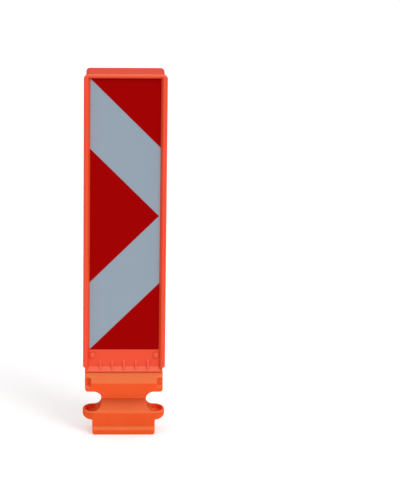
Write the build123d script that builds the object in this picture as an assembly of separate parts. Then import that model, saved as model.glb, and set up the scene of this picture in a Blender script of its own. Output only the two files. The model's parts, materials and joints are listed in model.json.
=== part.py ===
from build123d import *
import os

# Plug-in lane beacon: a hollow two-shell panel on a flexible moulded foot.
# +Z is up, the sheeted face looks along -Y, and the origin is the middle of the foot's
# flat underside. All values are in millimetres.

# ------------------------------------------------------------ panel
core_width = 139.4
core_depth = 60.0
wall = 3.0
panel_bottom = 119.3
panel_top = 670.7
core_corner = 7.0
bottom_corner = 2.5
split_y = 15.0
split_gap = 0.4

lip_overhang = 4.5
lip_thickness = 5.0
lip_bottom = 127.6
lip_top_corner = 9.2
lip_bottom_corner = 4.4
edge_round = 3.6
rim_round = 1.4

# ------------------------------------------------------------ sheeting and its recess
sheet_width = 125.0
sheet_height = 500.0
sheet_thickness = 0.6
overlay_thickness = 0.3
sheet_bottom = 162.0
sheet_margin = 0.4
recess_depth = 6.5
pocket_depth = 0.4
pocket_margin = 0.4
front_slope = 3.6
rear_slope = 1.2
top_rim = 6.3
chin_height = 3.4
ramp_round = 2.5
film_center_z = 411.4
film_half_height = 123.3

# ------------------------------------------------------------ gussets at the recess foot
gusset_count = 5
gusset_pitch = 21.5
gusset_width = 3.2
gusset_top = 142.5
gusset_setback = 0.6

# ------------------------------------------------------------ joining the two shells
boss_x = 46.0
boss_rows = (186.0, 339.0, 492.0, 644.0)
boss_diameter = 9.0
boss_end_y = 12.6
cup_diameter = 12.0
cup_end_y = 13.0
counterbore_diameter = 8.4
counterbore_floor_y = 16.0
screw_hole_diameter = 4.2
pilot_diameter = 3.6
pilot_depth = 20.0
screw_head_diameter = 7.2
screw_head_height = 2.6
screw_shank_diameter = 3.4
screw_length = 20.0
drive_slot = 1.0
web_thickness = 2.2
web_height = 11.0
spigot_thickness = 1.6
spigot_reach = 4.0
spigot_clearance = 0.3
spigot_bottom = 176.0
cover_shoulder = 1.0
overlap = 1.0
tolerance = 0.01

# ------------------------------------------------------------ tie bolts through the foot's plug
tie_x = 57.2
tie_z = 151.0
tie_hole_diameter = 4.5
bolt_diameter = 4.0
bolt_head_diameter = 7.4
bolt_head_height = 2.6
bolt_tail = 4.2
nut_across_flats = 7.0
nut_height = 3.2
sleeve_diameter = 8.0
cap_clearance = 0.3
cap_wall = 0.9
bolt_cap_height = 4.0
nut_cap_height = 5.6

# ------------------------------------------------------------ foot
body_gap = 0.3
shoulder_width = 140.8
bulge_half_depth = 40.0
bulge_top = 102.0
bulge_bottom = 87.4
neck_half_depth = 15.0
neck_foot_half_depth = 22.5
neck_foot_z = 45.3
crease_z = 67.7
slot_inner_x = 40.5
slot_top = 86.1
slot_bottom = 43.8
slot_top_round = 14.0
slot_bottom_round = 14.0
ridge_half_depth = 26.0
ridge_z = 41.8
tongue_width = 113.6
tongue_corner = 4.5
bead_half_depth = 29.5
bead_top = 15.2
bead_crest_top = 10.0
bead_crest_bottom = 7.0
tongue_bottom_half_depth = 27.5
ear_reach = 17.7
ear_half_depth = 25.5
ear_rim_round = 3.0
ear_bottom = 26.0
ear_round = 8.5
ear_wall = 4.5
cup_inner_x = 51.0
cup_half_depth = 21.5
cup_top = 60.0
cup_floor = 31.5
cup_round = 5.0
pocket_inner_x = 59.8
pocket_top = 110.0
pocket_bottom = 95.0
pocket_floor_half_depth = 31.0
shoulder_corner = 5.0

# ------------------------------------------------------------ foot plug and coring
plug_clearance = 0.5
plug_top = 168.0
plug_hole_diameter = 8.8
plug_lead = 3.0
plug_core_half_width = 44.0
plug_core_half_depth = 13.0
plug_core_bottom = 129.0
neck_core_half_width = 31.0
neck_core_half_depth = 18.0
neck_core_top = 33.0
side_core_inner_x = 36.0
side_core_outer_x = 50.0
side_core_half_depth = 18.0
side_core_top = 24.0

# ------------------------------------------------------------ worked out from the above
half_core = core_width / 2
half_depth = core_depth / 2
half_lip = half_core + lip_overhang
floor_y = half_depth - recess_depth
inner_y = floor_y - wall
half_sheet = sheet_width / 2
half_floor = half_sheet + sheet_margin
sheet_top = sheet_bottom + sheet_height
pocket_y = floor_y - pocket_depth
recess_top = panel_top - top_rim
chin_top = panel_bottom + chin_height
opening_half_width = half_core - 2 * wall
plug_half_width = opening_half_width - plug_clearance
plug_half_depth = inner_y - plug_clearance
shoulder_top = panel_bottom - body_gap
ear_center_x = tongue_width / 2
past = 5.0


def prism_x(face, x_low, x_high):
    """A face drawn in (Y, Z) and extruded along X."""
    return extrude(Plane.YZ.offset(x_low) * face, amount=x_high - x_low)


def prism_y(face, y_low, y_high):
    """A face drawn in (X, Z) and extruded along Y."""
    return extrude(Plane.XZ.offset(-y_high) * face, amount=y_high - y_low)


def prism_z(face, z_low, z_high):
    """A face drawn in (X, Y) and extruded along Z."""
    return extrude(Plane.XY.offset(z_low) * face, amount=z_high - z_low)


def block(x, y, z):
    """A box given by its low and high value on each axis."""
    size = [high - low for low, high in (x, y, z)]
    middle = [(high + low) / 2 for low, high in (x, y, z)]
    return Pos(*middle) * Box(*size)


def rod_y(x, z, y_low, y_high, diameter):
    """A round bar along Y."""
    return prism_y(Pos(x, z) * Circle(diameter / 2), y_low, y_high)


def at_y(part, y):
    """The edges of a part that lie in one plane across Y."""
    return part.edges().filter_by_position(Axis.Y, y - tolerance, y + tolerance)


def at_z(part, z):
    """The edges of a part that lie in one level plane."""
    return part.edges().filter_by_position(Axis.Z, z - tolerance, z + tolerance)


def plate_outline(half_width, z_low, z_high, low_radius, high_radius):
    """An upright rectangle with its own radius at the top and bottom corners."""
    middle = (z_low + z_high) / 2
    face = Pos(0, middle) * Rectangle(2 * half_width, z_high - z_low)
    corners = face.vertices().sort_by(Axis.Y)
    face = fillet(corners[:2], low_radius)
    corners = face.vertices().sort_by(Axis.Y)
    return fillet(corners[-2:], high_radius)


def core_outline(inset=0.0):
    """The panel's own outline, or the same outline moved inwards."""
    return plate_outline(
        half_core - inset,
        panel_bottom + inset,
        panel_top - inset,
        bottom_corner,
        core_corner - inset,
    )


def recess(side, slope):
    """The shallow field for the sheeting, sloped at the sides and ramped at the bottom."""
    outer = side * (half_depth + past)
    edge = side * half_depth
    floor = side * floor_y
    opening = half_floor + slope
    section = Polyline(
        (-half_floor, floor),
        (half_floor, floor),
        (opening, edge),
        (opening, outer),
        (-opening, outer),
        (-opening, edge),
        close=True,
    )
    columns = prism_z(make_face(section), panel_bottom, recess_top)
    profile = Polyline(
        (floor, recess_top),
        (floor, chin_top + recess_depth),
        (edge, chin_top),
        (outer, chin_top),
        (outer, recess_top),
        close=True,
    )
    face = make_face(profile)
    bend = face.vertices().sort_by_distance((floor, chin_top + recess_depth))[0]
    face = fillet(bend, ramp_round)
    return columns & prism_x(face, -half_core, half_core)


def gussets(side):
    """Small upright ribs where the field meets the ramp below it."""
    floor = side * floor_y
    front = side * (half_depth - gusset_setback)
    profile = Polyline(
        (floor - side * overlap, gusset_top),
        (floor, gusset_top),
        (front, chin_top + 2 * gusset_setback),
        (front, chin_top - overlap),
        (floor - side * overlap, chin_top - overlap),
        close=True,
    )
    face = make_face(profile)
    row = []
    for index in range(gusset_count):
        x = (index - (gusset_count - 1) / 2) * gusset_pitch
        row.append(prism_x(face, x - gusset_width / 2, x + gusset_width / 2))
    return row


def sheet_pocket(side):
    """The slightly deeper part of the field that the sheet is bonded into."""
    low, high = sorted((side * pocket_y, side * floor_y))
    half = half_sheet + sheet_margin
    return block((-half, half), (low, high), (sheet_bottom - pocket_margin, recess_top))


def rim_edges(part, side):
    """The sharp edges where the field opens through the face at one side."""
    opening = half_floor + (front_slope if side < 0 else rear_slope)
    inside = []
    for edge in at_y(part, side * half_depth):
        center = edge.center()
        straight = edge.geom_type == GeomType.LINE
        over_floor = abs(center.X) < opening + tolerance
        if straight and over_floor and center.Z > panel_bottom + bottom_corner:
            inside.append(edge)
    return inside


def tie_places():
    """Where the two tie bolts cross the panel, in (X, Z)."""
    return ((-tie_x, tie_z), (tie_x, tie_z))


def boss_places():
    """Where the eight cover screws sit, in (X, Z)."""
    return [(side * boss_x, z) for side in (-1, 1) for z in boss_rows]


def front_shell():
    """The deep front moulding: sheet field, side walls, top, chin and overhanging lip."""
    shell = prism_y(core_outline(), -half_depth + lip_thickness, split_y)
    lip = prism_y(
        plate_outline(half_lip, lip_bottom, panel_top, lip_bottom_corner, lip_top_corner),
        -half_depth,
        -half_depth + lip_thickness,
    )
    lip = fillet(at_y(lip, -half_depth), edge_round)
    chin = block(
        (-half_core, half_core),
        (-half_depth, -half_depth + lip_thickness),
        (panel_bottom, lip_bottom + lip_thickness),
    )
    chin_front = chin.faces().sort_by(Axis.Y)[0].edges()
    chin = fillet(chin_front.sort_by(Axis.Z)[0], edge_round / 2)
    shell = shell + lip + chin
    shell -= recess(-1, front_slope)
    shell = fillet(rim_edges(shell, -1), rim_round)
    shell -= sheet_pocket(-1)
    shell -= prism_y(core_outline(wall), -inner_y, split_y + past)
    shell -= block(
        (-opening_half_width, opening_half_width),
        (-inner_y, split_y + past),
        (panel_bottom - past, panel_bottom + 2 * wall),
    )
    for rib in gussets(-1):
        shell += rib
    for x, z in boss_places():
        shell += rod_y(x, z, -inner_y - wall / 2, boss_end_y, boss_diameter)
        shell -= rod_y(x, z, boss_end_y - pilot_depth, boss_end_y + past, pilot_diameter)
    for z in boss_rows:
        reach = boss_x - boss_diameter / 2 + overlap
        web = block(
            (-reach, reach),
            (-inner_y - wall / 2, -inner_y + web_height),
            (z - web_thickness / 2, z + web_thickness / 2),
        )
        shell += web
    for x, z in tie_places():
        shell -= rod_y(x, z, -half_depth, 0, tie_hole_diameter)
    return shell


def rear_cover():
    """The shallow back moulding with the same field, left bare, and a locating spigot."""
    cover = prism_y(core_outline(), split_y + split_gap, half_depth)
    cover = fillet(at_y(cover, half_depth), edge_round)
    cover -= recess(1, rear_slope)
    cover -= sheet_pocket(1)
    cover -= prism_y(core_outline(wall), split_y - past, inner_y)
    cover -= block(
        (-opening_half_width, opening_half_width),
        (split_y - past, inner_y),
        (panel_bottom - past, panel_bottom + 2 * wall),
    )
    for rib in gussets(1):
        cover += rib
    outside = wall + spigot_clearance
    ring = prism_y(core_outline(outside), split_y - spigot_reach, inner_y + wall / 2)
    ring -= prism_y(core_outline(outside + spigot_thickness), split_y - past, half_depth)
    ring -= block(
        (-half_core, half_core), (-half_depth, half_depth), (panel_bottom, spigot_bottom)
    )
    shoulder = prism_y(
        core_outline(wall - overlap), inner_y - cover_shoulder, inner_y + wall / 2
    )
    shoulder -= prism_y(core_outline(outside + spigot_thickness), split_y, half_depth)
    shoulder -= block(
        (-half_core, half_core), (-half_depth, half_depth), (panel_bottom, spigot_bottom)
    )
    cover += ring
    cover += shoulder
    for x, z in boss_places():
        cover += rod_y(x, z, cup_end_y, inner_y + wall / 2, cup_diameter)
        cover -= rod_y(x, z, counterbore_floor_y, half_depth, counterbore_diameter)
        cover -= rod_y(x, z, cup_end_y - past, half_depth, screw_hole_diameter)
    for x, z in tie_places():
        cover -= rod_y(x, z, 0, half_depth, tie_hole_diameter)
    return cover


def reflective_sheet():
    """The pale retroreflective sheet bonded in the front field."""
    face = Pos(0, (sheet_bottom + sheet_top) / 2) * Rectangle(sheet_width, sheet_height)
    return prism_y(face, -pocket_y - sheet_thickness, -pocket_y)


def red_overlay(corners):
    """One red film on the pale sheet, given by its three corners in (X, Z)."""
    outer = -pocket_y - sheet_thickness
    return prism_y(make_face(Polyline(*corners, close=True)), outer - overlay_thickness, outer)


def overlay_corners():
    """A chevron pattern at 45 degrees: corners of the upper, middle and lower film."""
    left, right = -half_sheet, half_sheet
    quarter = sheet_height / 4
    upper = ((left, sheet_top), (right, sheet_top), (right, sheet_top - quarter))
    middle = (
        (left, film_center_z + film_half_height),
        (left + film_half_height, film_center_z),
        (left, film_center_z - film_half_height),
    )
    lower = ((right, sheet_bottom + quarter), (right, sheet_bottom), (left, sheet_bottom))
    return {"upper": upper, "middle": middle, "lower": lower}


def cover_screw(x, z):
    """A pan-head thread-forming screw with a cross slot."""
    seat = counterbore_floor_y
    head = rod_y(x, z, seat, seat + screw_head_height, screw_head_diameter)
    head = fillet(at_y(head, seat + screw_head_height), screw_head_height / 2)
    shank = rod_y(x, z, seat - screw_length, seat, screw_shank_diameter)
    shank = chamfer(at_y(shank, seat - screw_length), screw_shank_diameter / 4)
    screw = head + shank
    arm = screw_head_diameter / 4
    half = drive_slot / 2
    top = (seat + screw_head_height / 2, seat + screw_head_height + past)
    screw -= block((x - arm, x + arm), top, (z - half, z + half))
    screw -= block((x - half, x + half), top, (z - arm, z + arm))
    return screw


def tie_bolt(x, z):
    """A pan-head bolt from the front field, through the plug, to the rear field."""
    head = rod_y(x, z, -floor_y - bolt_head_height, -floor_y, bolt_head_diameter)
    head = fillet(at_y(head, -floor_y - bolt_head_height), bolt_head_height / 3)
    shank = rod_y(x, z, -floor_y, floor_y + bolt_tail, bolt_diameter)
    shank = chamfer(at_y(shank, floor_y + bolt_tail), bolt_diameter / 8)
    return head + shank


def tie_nut(x, z):
    """The hexagon nut of one tie bolt."""
    radius = nut_across_flats / 2
    hexagon = RegularPolygon(radius, 6, major_radius=False) - Circle(bolt_diameter / 2)
    return prism_y(Pos(x, z) * hexagon, floor_y, floor_y + nut_height)


def spacer_sleeve(x, z):
    """A stiff tube inside the plug that carries the bolt's clamping force."""
    ring = Circle(sleeve_diameter / 2) - Circle(tie_hole_diameter / 2)
    return prism_y(Pos(x, z) * ring, -inner_y, inner_y)


def cap(x, z, side, inner_diameter, height):
    """A domed snap cap over a bolt head or a nut."""
    seat = side * floor_y
    top = side * (floor_y + height)
    low, high = sorted((seat, top))
    outer_diameter = inner_diameter + 2 * cap_wall
    dome = rod_y(x, z, low, high, outer_diameter)
    dome = fillet(at_y(dome, top), height / 2)
    low, high = sorted((seat - side * past, side * (floor_y + height - cap_wall)))
    return dome - rod_y(x, z, low, high, inner_diameter)


def foot_profile():
    """The foot's side view in (Y, Z): shoulder, bulge, neck, ridge, tongue and bead."""
    half = [
        Line((0, shoulder_top), (-half_depth, shoulder_top)),
        Line((-half_depth, shoulder_top), (-bulge_half_depth, bulge_top)),
        Line((-bulge_half_depth, bulge_top), (-bulge_half_depth, bulge_bottom)),
        EllipticalCenterArc(
            (-neck_half_depth, bulge_bottom),
            bulge_half_depth - neck_half_depth,
            bulge_bottom - crease_z,
            start_angle=180,
            arc_size=90,
        ),
        Line((-neck_half_depth, crease_z), (-neck_foot_half_depth, neck_foot_z)),
        Line((-neck_foot_half_depth, neck_foot_z), (-ridge_half_depth, ridge_z)),
        Line((-ridge_half_depth, ridge_z), (-ridge_half_depth, bead_top)),
        Line((-ridge_half_depth, bead_top), (-bead_half_depth, bead_crest_top)),
        Line((-bead_half_depth, bead_crest_top), (-bead_half_depth, bead_crest_bottom)),
        Line((-bead_half_depth, bead_crest_bottom), (-tongue_bottom_half_depth, 0)),
        Line((-tongue_bottom_half_depth, 0), (0, 0)),
        Line((0, 0), (0, shoulder_top)),
    ]
    left = make_face(half)
    return left + mirror(left, Plane.YZ)


def lower_rounded(half_width, z_low, z_high, radius):
    """An upright rectangle with round lower corners, drawn in (X, Z)."""
    face = Pos(0, (z_low + z_high) / 2) * Rectangle(2 * half_width, z_high - z_low)
    return fillet(face.vertices().sort_by(Axis.Y)[:2], radius)


def foot_front():
    """The foot's front view in (X, Z): the narrow tongue below the wide shoulder."""
    tongue = lower_rounded(tongue_width / 2, 0, slot_top + past, tongue_corner)
    shoulder = lower_rounded(shoulder_width / 2, slot_top, shoulder_top, shoulder_corner)
    return tongue + shoulder


def side_slot(side):
    """The round-cornered slot that necks the foot in on one side."""
    run = shoulder_width / 2 + past - slot_inner_x
    middle = Pos(side * (slot_inner_x + run / 2), (slot_bottom + slot_top) / 2)
    face = middle * Rectangle(run, slot_top - slot_bottom)
    low = face.vertices().sort_by_distance((side * slot_inner_x, slot_bottom))[:1]
    face = fillet(low, slot_bottom_round)
    high = face.vertices().sort_by_distance((side * slot_inner_x, slot_top))[:1]
    face = fillet(high, slot_top_round)
    return prism_y(face, -bulge_half_depth - past, bulge_half_depth + past)


def ear(side):
    """The rounded lobe beside the tongue, before its cup is hollowed out."""
    start = cup_inner_x
    run = ear_center_x - start
    strip = Pos(side * (start + run / 2), 0) * Rectangle(run, 2 * ear_half_depth)
    lobe = Pos(side * ear_center_x, 0) * Ellipse(ear_reach, ear_half_depth)
    lobe -= Pos(side * (start - ear_reach), 0) * Rectangle(2 * ear_reach, 3 * ear_half_depth)
    solid = prism_z(strip + lobe, ear_bottom, slot_bottom)
    for z, radius in ((ear_bottom, ear_round), (slot_bottom, ear_rim_round)):
        outside = [edge for edge in at_z(solid, z) if abs(edge.center().X) > start + overlap]
        solid = fillet(outside, radius)
    return solid


def ear_cup(side):
    """The hollow in one ear, open at the top."""
    start = cup_inner_x
    run = ear_center_x - start
    strip = Pos(side * (start + run / 2), 0) * Rectangle(run, 2 * cup_half_depth)
    lobe = Pos(side * ear_center_x, 0) * Ellipse(ear_reach - ear_wall, cup_half_depth)
    lobe -= Pos(side * (start - ear_reach), 0) * Rectangle(2 * ear_reach, 3 * cup_half_depth)
    hollow = prism_z(strip + lobe, cup_floor, cup_top)
    return fillet(at_z(hollow, cup_floor), cup_round)


def foot():
    """The one-piece flexible foot: plug, shoulder, neck, cupped ears and tongue."""
    solid = prism_x(foot_profile(), -shoulder_width / 2, shoulder_width / 2)
    solid &= prism_y(foot_front(), -bulge_half_depth, bulge_half_depth)
    for side in (-1, 1):
        solid -= side_slot(side)
        for face_side in (-1, 1):
            x = sorted((side * pocket_inner_x, side * (shoulder_width / 2 + past)))
            y = sorted(
                (face_side * pocket_floor_half_depth, face_side * (bulge_half_depth + past))
            )
            solid -= block(x, y, (pocket_bottom, pocket_top))
    for side in (-1, 1):
        solid += ear(side)
    for side in (-1, 1):
        solid -= ear_cup(side)
    plug = block(
        (-plug_half_width, plug_half_width),
        (-plug_half_depth, plug_half_depth),
        (shoulder_top - overlap, plug_top),
    )
    plug = chamfer(plug.faces().sort_by(Axis.Z)[-1].edges(), plug_lead)
    solid += plug
    solid -= block(
        (-plug_core_half_width, plug_core_half_width),
        (-plug_core_half_depth, plug_core_half_depth),
        (plug_core_bottom, plug_top + past),
    )
    solid -= block(
        (-neck_core_half_width, neck_core_half_width),
        (-neck_core_half_depth, neck_core_half_depth),
        (-past, neck_core_top),
    )
    for side in (-1, 1):
        x = sorted((side * side_core_inner_x, side * side_core_outer_x))
        y = (-side_core_half_depth, side_core_half_depth)
        solid -= block(x, y, (-past, side_core_top))
    for x, z in tie_places():
        solid -= rod_y(x, z, -half_depth, half_depth, plug_hole_diameter)
    return solid


def all_parts():
    """Every node of the beacon, by name."""
    parts = {
        "front_shell": front_shell(),
        "rear_cover": rear_cover(),
        "reflective_sheet": reflective_sheet(),
        "foot": foot(),
    }
    for name, corners in overlay_corners().items():
        parts[f"red_film_{name}"] = red_overlay(corners)
    for index, (x, z) in enumerate(boss_places(), start=1):
        parts[f"cover_screw_{index}"] = cover_screw(x, z)
    for hand, (x, z) in zip(("left", "right"), tie_places()):
        head_room = bolt_head_diameter + 2 * cap_clearance
        nut_corner = 2 * nut_across_flats / 3**0.5
        parts[f"tie_bolt_{hand}"] = tie_bolt(x, z)
        parts[f"tie_nut_{hand}"] = tie_nut(x, z)
        parts[f"spacer_sleeve_{hand}"] = spacer_sleeve(x, z)
        parts[f"bolt_cap_{hand}"] = cap(x, z, -1, head_room, bolt_cap_height)
        parts[f"nut_cap_{hand}"] = cap(x, z, 1, nut_corner + 2 * cap_clearance, nut_cap_height)
    return parts


os.makedirs("parts", exist_ok=True)
for node, part in all_parts().items():
    export_step(part, f"parts/{node}.step")
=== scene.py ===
import json
import math

import bpy
from mathutils import Matrix, Vector


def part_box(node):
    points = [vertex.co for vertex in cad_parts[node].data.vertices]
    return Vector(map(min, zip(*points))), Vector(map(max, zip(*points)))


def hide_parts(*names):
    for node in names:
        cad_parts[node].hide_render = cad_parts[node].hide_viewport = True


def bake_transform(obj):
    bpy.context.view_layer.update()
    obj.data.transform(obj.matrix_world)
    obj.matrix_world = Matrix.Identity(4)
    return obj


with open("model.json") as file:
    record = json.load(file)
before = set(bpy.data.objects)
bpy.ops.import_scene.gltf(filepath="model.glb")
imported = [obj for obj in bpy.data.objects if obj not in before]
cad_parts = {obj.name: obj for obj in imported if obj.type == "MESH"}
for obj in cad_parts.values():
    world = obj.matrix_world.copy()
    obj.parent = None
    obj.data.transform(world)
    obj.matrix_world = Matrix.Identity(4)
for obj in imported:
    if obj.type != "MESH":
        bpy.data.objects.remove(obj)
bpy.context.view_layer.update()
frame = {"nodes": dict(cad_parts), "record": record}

# Plug-in lane beacon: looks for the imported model. Everything is in metres, in the CAD frame:
# +Z up, the sheeted face looks along -Y.

# ------------------------------------------------------------ camera, metres and degrees
CAMERA_SIDE = -0.0992
CAMERA_DISTANCE = 5.307
CAMERA_PITCH = math.radians(15.5)
CAMERA_YAW = math.radians(2.524)
CAMERA_ROLL = math.radians(0.1)
AIM_HEIGHT = 0.3503
AIM_Y = -0.03
SENSOR_HEIGHT = 24.0
LENS = 142.3

# ------------------------------------------------------------ studio
SKY_BASE = 0.22
SKY_SLOPE = (0.0, -0.23, 0.90)
SKY_LEAST = 0.06
KEY_STRENGTH = 1.27
KEY_SPREAD = math.radians(26.0)
KEY_FROM = Vector((0.42, -0.56, 0.71))
FLOOR_SIZE = 30.0
FLOOR_WHITE = (0.64, 0.64, 0.64)
FLOOR_PALER = (0.66, 0.66, 0.66)
FLOOR_GLOW = 0.60

# ------------------------------------------------------------ the orange mouldings, linear colours
PANEL_ORANGE = (0.775, 0.061, 0.018)
PANEL_DEEP = (0.740, 0.048, 0.014)
PANEL_FADED = (0.820, 0.086, 0.034)
# The next colour is a painted highlight, a paler orange put on front and rear faces that lean
# back.
PANEL_HIGHLIGHT_COLOR = (0.720, 0.180, 0.100)
PANEL_DIRT = (0.420, 0.040, 0.016)
PANEL_ROUGHNESS = 0.40
PANEL_SPECULAR = 0.30
# How strongly the panel's painted highlight goes on.
PANEL_HIGHLIGHT_STRENGTH = 0.48
CAP_ORANGE = (0.780, 0.078, 0.030)
CAP_DEEP = (0.740, 0.066, 0.022)
CAP_ROUGHNESS = 0.36
SCUFF_GLOSS_LOSS = 0.25
EDGE_RADIUS = 0.0012
EDGE_WEAR = 0.35
SLOPE_START = 0.12
SLOPE_FULL = 0.45
SEAM_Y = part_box("front_shell")[1][1]
SEAM_SPREAD = 0.0012
SEAM_DIRT = 0.45

# ------------------------------------------------------------ the flexible foot
FOOT_ORANGE = (0.760, 0.099, 0.023)
FOOT_DEEP = (0.725, 0.087, 0.019)
FOOT_BLOOM = (0.780, 0.122, 0.030)
# The next colour is a painted highlight for the foot's front and rear faces that lean back.
FOOT_HIGHLIGHT_COLOR = (0.720, 0.225, 0.088)
FOOT_SPECULAR = 0.02
FOOT_TRANSLUCENCY = 0.6
FOOT_SCATTER = 0.030
FOOT_SCATTER_RGB = (1.0, 0.16, 0.06)
# How strongly the foot's painted highlight goes on.
FOOT_HIGHLIGHT_STRENGTH = 0.55
PARTING_HALF_WIDTH = 0.0006
PARTING_DEPTH = 0.0004
SKIN_VOXEL = 0.0009
SKIN_WELD = 0.000018
SKIN_SMOOTHING = 10

# ------------------------------------------------------------ sheeting and fasteners
SHEET_GREY = (0.246, 0.301, 0.364)
SHEET_SEAM = (0.300, 0.356, 0.418)
PALE_SPECULAR = 0.16
FILM_RED = (0.298, 0.0002, 0.0003)
FILM_SEAM = (0.340, 0.0008, 0.0010)
RED_SPECULAR = 0.01
LATTICE_PITCH = 0.0042
LATTICE_LINE = 0.00035
LATTICE_ANGLES = (0, 60, 120)
ZINC = (0.62, 0.62, 0.60)
ZINC_DULL = (0.46, 0.46, 0.45)
SLEEVE_BLACK = (0.020, 0.020, 0.022)
SLEEVE_GREY = (0.050, 0.050, 0.054)

# ------------------------------------------------------------ noise scales, features to the metre
FADE_SCALE = 2.3
BLOOM_SCALE = 5.0
FLOW_SCALE = 9.0
MOTTLE_SCALE = 26.0
SCUFF_SCALE = 60.0
FOOT_SCUFF_SCALE = 80.0
PEEL_SCALE = 170.0
FOOT_PEEL_SCALE = 140.0
GRAIN_SCALE = 1500.0
FOOT_GRAIN_SCALE = 1100.0
FILM_CLOUD_SCALE = 14.0
FILM_RIPPLE_SCALE = 34.0
PRISM_SCALE = 2600.0
ZINC_PATCH_SCALE = 420.0
ZINC_TURNING_SCALE = 3000.0
SLEEVE_STREAK_SCALE = 900.0
FLOOR_CLOUD_SCALE = 0.8


class Finish:
    """One material and the nodes that go into it."""

    def __init__(self, name):
        self.material = bpy.data.materials.new(name)
        self.material.use_nodes = True
        self.tree = self.material.node_tree
        self.shader = self.tree.nodes["Principled BSDF"]
        coordinates = self.node("ShaderNodeTexCoord")
        self.place = coordinates.outputs["Object"]
        self.facing = coordinates.outputs["Normal"]

    def node(self, kind, **settings):
        """A new node with its own settings, such as an operation or a data type."""
        made = self.tree.nodes.new(kind)
        for name, value in settings.items():
            setattr(made, name, value)
        return made

    def feed(self, socket, value):
        """Links an output to an input, or sets the input to a plain value."""
        if isinstance(value, bpy.types.NodeSocket):
            self.tree.links.new(value, socket)
        elif isinstance(value, tuple) and len(value) == 3 and socket.type == "RGBA":
            socket.default_value = (*value, 1.0)
        else:
            socket.default_value = value

    def stretched(self, x, y, z):
        """The object's coordinates, scaled differently on each axis."""
        mapping = self.node("ShaderNodeMapping")
        self.feed(mapping.inputs["Vector"], self.place)
        self.feed(mapping.inputs["Scale"], (x, y, z))
        return mapping.outputs["Vector"]

    def noise(self, scale, detail=3.0, roughness=0.55, vector=None):
        """Soft noise from 0 to 1."""
        made = self.node("ShaderNodeTexNoise")
        self.feed(made.inputs["Vector"], vector or self.place)
        self.feed(made.inputs["Scale"], scale)
        self.feed(made.inputs["Detail"], detail)
        self.feed(made.inputs["Roughness"], roughness)
        return made.outputs["Fac"]

    def span(self, value, low, high, to_low=0.0, to_high=1.0):
        """A value carried from one range to another and held inside it."""
        made = self.node("ShaderNodeMapRange", interpolation_type="SMOOTHSTEP")
        self.feed(made.inputs["Value"], value)
        self.feed(made.inputs["From Min"], low)
        self.feed(made.inputs["From Max"], high)
        self.feed(made.inputs["To Min"], to_low)
        self.feed(made.inputs["To Max"], to_high)
        return made.outputs["Result"]

    def calc(self, operation, first, second=0.0):
        """One step of arithmetic."""
        made = self.node("ShaderNodeMath", operation=operation)
        self.feed(made.inputs[0], first)
        self.feed(made.inputs[1], second)
        return made.outputs["Value"]

    def dot(self, first, second):
        """The dot product of two vectors."""
        made = self.node("ShaderNodeVectorMath", operation="DOT_PRODUCT")
        self.feed(made.inputs[0], first)
        self.feed(made.inputs[1], second)
        return made.outputs["Value"]

    def blend(self, factor, first, second):
        """Two colours mixed by a factor."""
        made = self.node("ShaderNodeMix", data_type="RGBA")
        self.feed(made.inputs["Factor"], factor)
        colors = [socket for socket in made.inputs if socket.type == "RGBA"]
        self.feed(colors[0], first)
        self.feed(colors[1], second)
        return [socket for socket in made.outputs if socket.type == "RGBA"][0]

    def bump(self, height, strength, distance, normal=None):
        """A surface relief of the given depth."""
        made = self.node("ShaderNodeBump")
        self.feed(made.inputs["Strength"], strength)
        self.feed(made.inputs["Distance"], distance)
        self.feed(made.inputs["Height"], height)
        if normal is not None:
            self.feed(made.inputs["Normal"], normal)
        return made.outputs["Normal"]

    def set(self, **inputs):
        """Values or links for the Principled shader, by socket name."""
        for name, value in inputs.items():
            self.feed(self.shader.inputs[name.replace("_", " ")], value)

    def rounded_normal(self, radius):
        """Normals that turn a sharp edge into a small round."""
        made = self.node("ShaderNodeBevel", samples=4)
        self.feed(made.inputs["Radius"], radius)
        return made.outputs["Normal"]

    def edge_mask(self, radius):
        """1 along the edges and 0 on flat faces."""
        plain = self.node("ShaderNodeNewGeometry").outputs["Normal"]
        turned = self.dot(self.rounded_normal(radius), plain)
        return self.span(turned, 0.985, 0.86)

    def painted_highlight_mask(self):
        """1 on front and rear faces that lean back: where a painted highlight goes, standing in
        for the key light catching these slopes.
        """
        lean = self.dot(self.facing, (0.0, 0.0, 1.0))
        front = self.calc("ABSOLUTE", self.dot(self.facing, (0.0, 1.0, 0.0)))
        rise = self.span(lean, SLOPE_START, SLOPE_FULL)
        return self.calc("MULTIPLY", rise, self.span(front, SLOPE_START, SLOPE_FULL))

    def lattice(self):
        """The seams of the prism cells: three sets of parallel lines."""
        seams = None
        for degrees in LATTICE_ANGLES:
            angle = math.radians(degrees)
            across = self.dot(self.place, (math.sin(angle), 0.0, math.cos(angle)))
            ripple = self.calc("PINGPONG", across, LATTICE_PITCH / 2)
            line = self.span(ripple, LATTICE_LINE, 0.0)
            seams = line if seams is None else self.calc("MAXIMUM", seams, line)
        return seams


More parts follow.
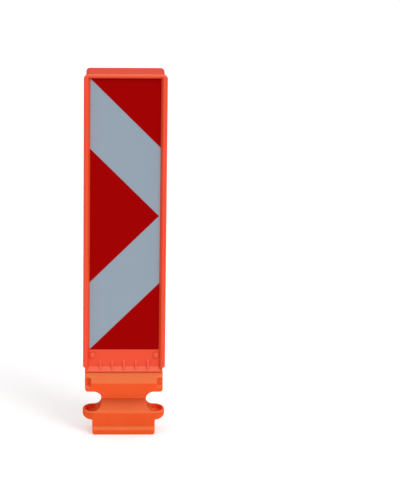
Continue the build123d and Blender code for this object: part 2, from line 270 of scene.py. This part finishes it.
def moulded_plastic(name, plain, deep, faded, roughness):
    """Satin moulded plastic: flow marks, sun fade, a fine grain, paler worn edges and a painted
    highlight on slopes that lean back.
    """
    finish = Finish(name)
    flow = finish.noise(FLOW_SCALE, 4.0, 0.6, finish.stretched(1.0, 1.0, 0.3))
    color = finish.blend(finish.span(flow, 0.45, 0.75, 0.0, 0.55), plain, deep)
    fade = finish.noise(FADE_SCALE, 2.0)
    color = finish.blend(finish.span(fade, 0.5, 0.8, 0.0, 0.35), color, faded)
    scuffs = finish.noise(SCUFF_SCALE, 5.0, 0.7, finish.stretched(2.2, 1.0, 0.16))
    scuff = finish.span(scuffs, 0.62, 0.72, 0.0, 0.3)
    color = finish.blend(scuff, color, faded)
    edge = finish.edge_mask(EDGE_RADIUS)
    color = finish.blend(finish.calc("MULTIPLY", edge, EDGE_WEAR), color, faded)
    # Painted highlight: faces that lean back are mixed towards a paler orange, as if the key light
    # caught them.
    painted_highlight = finish.calc("MULTIPLY", finish.painted_highlight_mask(), PANEL_HIGHLIGHT_STRENGTH)
    color = finish.blend(painted_highlight, color, PANEL_HIGHLIGHT_COLOR)
    seam = finish.calc("SUBTRACT", finish.dot(finish.place, (0.0, 1.0, 0.0)), SEAM_Y)
    dirt = finish.span(finish.calc("ABSOLUTE", seam), SEAM_SPREAD, 0.0, 0.0, SEAM_DIRT)
    color = finish.blend(dirt, color, PANEL_DIRT)
    grain = finish.noise(GRAIN_SCALE, 2.0)
    peel = finish.noise(PEEL_SCALE, 2.0)
    rough = finish.span(peel, 0.3, 0.7, roughness - 0.05, roughness + 0.05)
    rough = finish.calc("ADD", rough, finish.calc("MULTIPLY", scuff, SCUFF_GLOSS_LOSS))
    normal = finish.bump(peel, 0.10, 0.0004, finish.rounded_normal(EDGE_RADIUS / 2))
    normal = finish.bump(grain, 0.16, 0.0001, normal)
    finish.set(Base_Color=color, Roughness=rough, Normal=normal)
    finish.shader.inputs["Specular IOR Level"].default_value = PANEL_SPECULAR
    return finish.material


def foot_elastomer():
    """Matt flexible plastic: mottled, with a bloom on high spots, a painted highlight on slopes
    that lean back and a mould parting line.
    """
    finish = Finish("foot_elastomer")
    mottle = finish.noise(MOTTLE_SCALE, 5.0, 0.6)
    color = finish.blend(finish.span(mottle, 0.42, 0.72, 0.0, 0.6), FOOT_ORANGE, FOOT_DEEP)
    bloom = finish.noise(BLOOM_SCALE, 3.0)
    color = finish.blend(finish.span(bloom, 0.5, 0.75, 0.0, 0.35), color, FOOT_BLOOM)
    scuffs = finish.noise(FOOT_SCUFF_SCALE, 5.0, 0.7, finish.stretched(0.5, 1.0, 1.6))
    scuff = finish.span(scuffs, 0.6, 0.72, 0.0, 0.3)
    color = finish.blend(scuff, color, FOOT_BLOOM)
    # Painted highlight: the foot's faces that lean back are mixed towards a paler orange, as if
    # the key light caught them.
    painted_highlight = finish.calc("MULTIPLY", finish.painted_highlight_mask(), FOOT_HIGHLIGHT_STRENGTH)
    color = finish.blend(painted_highlight, color, FOOT_HIGHLIGHT_COLOR)
    off_line = finish.calc("ABSOLUTE", finish.dot(finish.place, (0.0, 1.0, 0.0)))
    parting = finish.span(off_line, PARTING_HALF_WIDTH, PARTING_HALF_WIDTH / 3)
    grain = finish.noise(FOOT_GRAIN_SCALE, 3.0)
    peel = finish.noise(FOOT_PEEL_SCALE, 2.0)
    rough = finish.span(mottle, 0.3, 0.7, 0.55, 0.68)
    normal = finish.bump(parting, 0.6, PARTING_DEPTH)
    normal = finish.bump(peel, 0.06, 0.0003, normal)
    normal = finish.bump(grain, 0.22, 0.00012, normal)
    finish.set(Base_Color=color, Roughness=rough, Normal=normal)
    finish.shader.inputs["Specular IOR Level"].default_value = FOOT_SPECULAR
    finish.shader.inputs["Subsurface Weight"].default_value = FOOT_TRANSLUCENCY
    finish.shader.inputs["Subsurface Radius"].default_value = FOOT_SCATTER_RGB
    finish.shader.inputs["Subsurface Scale"].default_value = FOOT_SCATTER
    return finish.material


def prismatic_film(name, plain, seam, specular):
    """Retroreflective film: a lattice of cells with tiny prisms under a clear face."""
    finish = Finish(name)
    lattice = finish.lattice()
    cloud = finish.noise(FILM_CLOUD_SCALE, 3.0)
    amount = finish.calc("MULTIPLY", lattice, finish.span(cloud, 0.3, 0.7, 0.45, 0.75))
    color = finish.blend(amount, plain, seam)
    prisms = finish.node("ShaderNodeTexVoronoi", feature="F1")
    finish.feed(prisms.inputs["Vector"], finish.place)
    finish.feed(prisms.inputs["Scale"], PRISM_SCALE)
    sparkle = finish.span(prisms.outputs["Distance"], 0.15, 0.65, 0.0, 0.22)
    color = finish.blend(sparkle, color, seam)
    ripple = finish.noise(FILM_RIPPLE_SCALE, 2.0)
    rough = finish.span(ripple, 0.3, 0.7, 0.34, 0.46)
    normal = finish.bump(lattice, 0.25, 0.00005)
    normal = finish.bump(ripple, 0.05, 0.0006, normal)
    finish.set(Base_Color=color, Roughness=rough, Normal=normal)
    finish.shader.inputs["Specular IOR Level"].default_value = specular
    return finish.material


def zinc_steel():
    """Zinc-plated steel: bright, with dull patches and fine turning marks."""
    finish = Finish("zinc_steel")
    patches = finish.noise(ZINC_PATCH_SCALE, 4.0, 0.6)
    color = finish.blend(finish.span(patches, 0.4, 0.7), ZINC, ZINC_DULL)
    turning = finish.noise(ZINC_TURNING_SCALE, 1.0, 0.5, finish.stretched(1.0, 0.2, 1.0))
    rough = finish.span(patches, 0.3, 0.7, 0.28, 0.46)
    normal = finish.bump(turning, 0.2, 0.00005)
    finish.set(Base_Color=color, Roughness=rough, Normal=normal)
    finish.shader.inputs["Metallic"].default_value = 1.0
    return finish.material


def sleeve_plastic():
    """Black drawn tube with faint lengthwise streaks."""
    finish = Finish("sleeve_plastic")
    streaks = finish.noise(SLEEVE_STREAK_SCALE, 3.0, 0.6, finish.stretched(1.0, 0.06, 1.0))
    color = finish.blend(finish.span(streaks, 0.45, 0.75), SLEEVE_BLACK, SLEEVE_GREY)
    rough = finish.span(streaks, 0.3, 0.7, 0.38, 0.55)
    finish.set(Base_Color=color, Roughness=rough, Normal=finish.bump(streaks, 0.15, 0.00008))
    return finish.material


def studio_floor():
    """A plain pale floor with a barely visible unevenness."""
    finish = Finish("studio_floor")
    cloud = finish.noise(FLOOR_CLOUD_SCALE, 2.0)
    color = finish.blend(cloud, FLOOR_WHITE, FLOOR_PALER)
    finish.set(Base_Color=color, Roughness=finish.span(cloud, 0.3, 0.7, 0.75, 0.85))
    finish.set(Emission_Color=color, Emission_Strength=FLOOR_GLOW)
    return finish.material


def all_finishes():
    """Every finish of the record, by its slot name."""
    return {
        "panel_plastic": moulded_plastic(
            "panel_plastic", PANEL_ORANGE, PANEL_DEEP, PANEL_FADED, PANEL_ROUGHNESS
        ),
        "cap_plastic": moulded_plastic(
            "cap_plastic", CAP_ORANGE, CAP_DEEP, FOOT_BLOOM, CAP_ROUGHNESS
        ),
        "foot_elastomer": foot_elastomer(),
        "pale_sheeting": prismatic_film(
            "pale_sheeting", SHEET_GREY, SHEET_SEAM, PALE_SPECULAR
        ),
        "red_film": prismatic_film("red_film", FILM_RED, FILM_SEAM, RED_SPECULAR),
        "zinc_steel": zinc_steel(),
        "sleeve_plastic": sleeve_plastic(),
    }


def paint(obj, material):
    """Gives an object one material in place of what it has."""
    obj.data.materials.clear()
    obj.data.materials.append(material)


def paint_cad_nodes(finishes):
    """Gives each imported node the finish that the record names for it."""
    for part in frame["record"]["subparts"]:
        paint(frame["nodes"][part["node"]], finishes[part["material_slot"]])


def applied(obj, name):
    """A mesh object with the first object's modifiers worked into its mesh."""
    graph = bpy.context.evaluated_depsgraph_get()
    mesh = bpy.data.meshes.new_from_object(obj.evaluated_get(graph))
    mesh.name = name
    baked = bpy.data.objects.new(name, mesh)
    bpy.context.scene.collection.objects.link(baked)
    bpy.data.objects.remove(obj)
    return baked


def foot_skin(material):
    """The flexible foot as one soft moulding, with its hard edges rounded."""
    draft = bpy.data.objects.new("foot_draft", frame["nodes"]["foot"].data.copy())
    bpy.context.scene.collection.objects.link(draft)
    weld = draft.modifiers.new("weld", "WELD")
    weld.merge_threshold = SKIN_WELD
    remesh = draft.modifiers.new("remesh", "REMESH")
    remesh.mode = "VOXEL"
    remesh.voxel_size = SKIN_VOXEL
    remesh.use_smooth_shade = True
    smooth = draft.modifiers.new("smooth", "SMOOTH")
    smooth.factor = 0.5
    smooth.iterations = SKIN_SMOOTHING
    skin = applied(draft, "foot_skin")
    paint(skin, material)
    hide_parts("foot")
    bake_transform(skin)
    return skin


def floor():
    """A large level sheet under the beacon, which is no part of it."""
    half = FLOOR_SIZE / 2
    corners = [(-half, -half, 0), (half, -half, 0), (half, half, 0), (-half, half, 0)]
    mesh = bpy.data.meshes.new("studio_floor")
    mesh.from_pydata(corners, [], [(0, 1, 2, 3)])
    obj = bpy.data.objects.new("studio_floor", mesh)
    bpy.context.scene.collection.objects.link(obj)
    paint(obj, studio_floor())


def sky():
    """White light from all round: strongest from above, weakest from low down behind."""
    world = bpy.data.worlds.new("studio")
    world.use_nodes = True
    tree = world.node_tree
    background = tree.nodes["Background"]
    background.inputs["Color"].default_value = (1.0, 1.0, 1.0, 1.0)
    direction = tree.nodes.new("ShaderNodeTexCoord").outputs["Generated"]
    climb = tree.nodes.new("ShaderNodeVectorMath")
    climb.operation = "DOT_PRODUCT"
    climb.inputs[1].default_value = SKY_SLOPE
    tree.links.new(direction, climb.inputs[0])
    level = tree.nodes.new("ShaderNodeMath")
    level.operation = "ADD"
    level.inputs[1].default_value = SKY_BASE
    tree.links.new(climb.outputs["Value"], level.inputs[0])
    floored = tree.nodes.new("ShaderNodeMath")
    floored.operation = "MAXIMUM"
    floored.inputs[1].default_value = SKY_LEAST
    tree.links.new(level.outputs["Value"], floored.inputs[0])
    tree.links.new(floored.outputs["Value"], background.inputs["Strength"])
    bpy.context.scene.world = world


def key_light():
    """One broad soft light from above, in front and to the right."""
    light = bpy.data.lights.new("key", "SUN")
    light.energy = KEY_STRENGTH
    light.angle = KEY_SPREAD
    obj = bpy.data.objects.new("key", light)
    bpy.context.scene.collection.objects.link(obj)
    obj.location = KEY_FROM
    obj.rotation_euler = (-KEY_FROM).to_track_quat("-Z", "Y").to_euler()


def camera():
    """A long lens in front of the beacon, a little above it and looking down."""
    data = bpy.data.cameras.new("camera")
    data.sensor_fit = "VERTICAL"
    data.sensor_height = SENSOR_HEIGHT
    data.lens = LENS
    data.clip_end = 4 * FLOOR_SIZE
    obj = bpy.data.objects.new("camera", data)
    bpy.context.scene.collection.objects.link(obj)
    back = AIM_Y - CAMERA_DISTANCE * math.cos(CAMERA_PITCH)
    up = AIM_HEIGHT + CAMERA_DISTANCE * math.sin(CAMERA_PITCH)
    obj.matrix_world = (
        Matrix.Translation((CAMERA_SIDE, back, up))
        @ Matrix.Rotation(math.pi / 2 - CAMERA_PITCH, 4, "X")
        @ Matrix.Rotation(-CAMERA_YAW, 4, "Y")
        @ Matrix.Rotation(CAMERA_ROLL, 4, "Z")
    )
    bpy.context.scene.camera = obj


def build():
    """The whole scene."""
    finishes = all_finishes()
    paint_cad_nodes(finishes)
    foot_skin(finishes["foot_elastomer"])
    floor()
    sky()
    key_light()
    camera()
    bpy.context.scene.view_settings.view_transform = "Standard"


build()
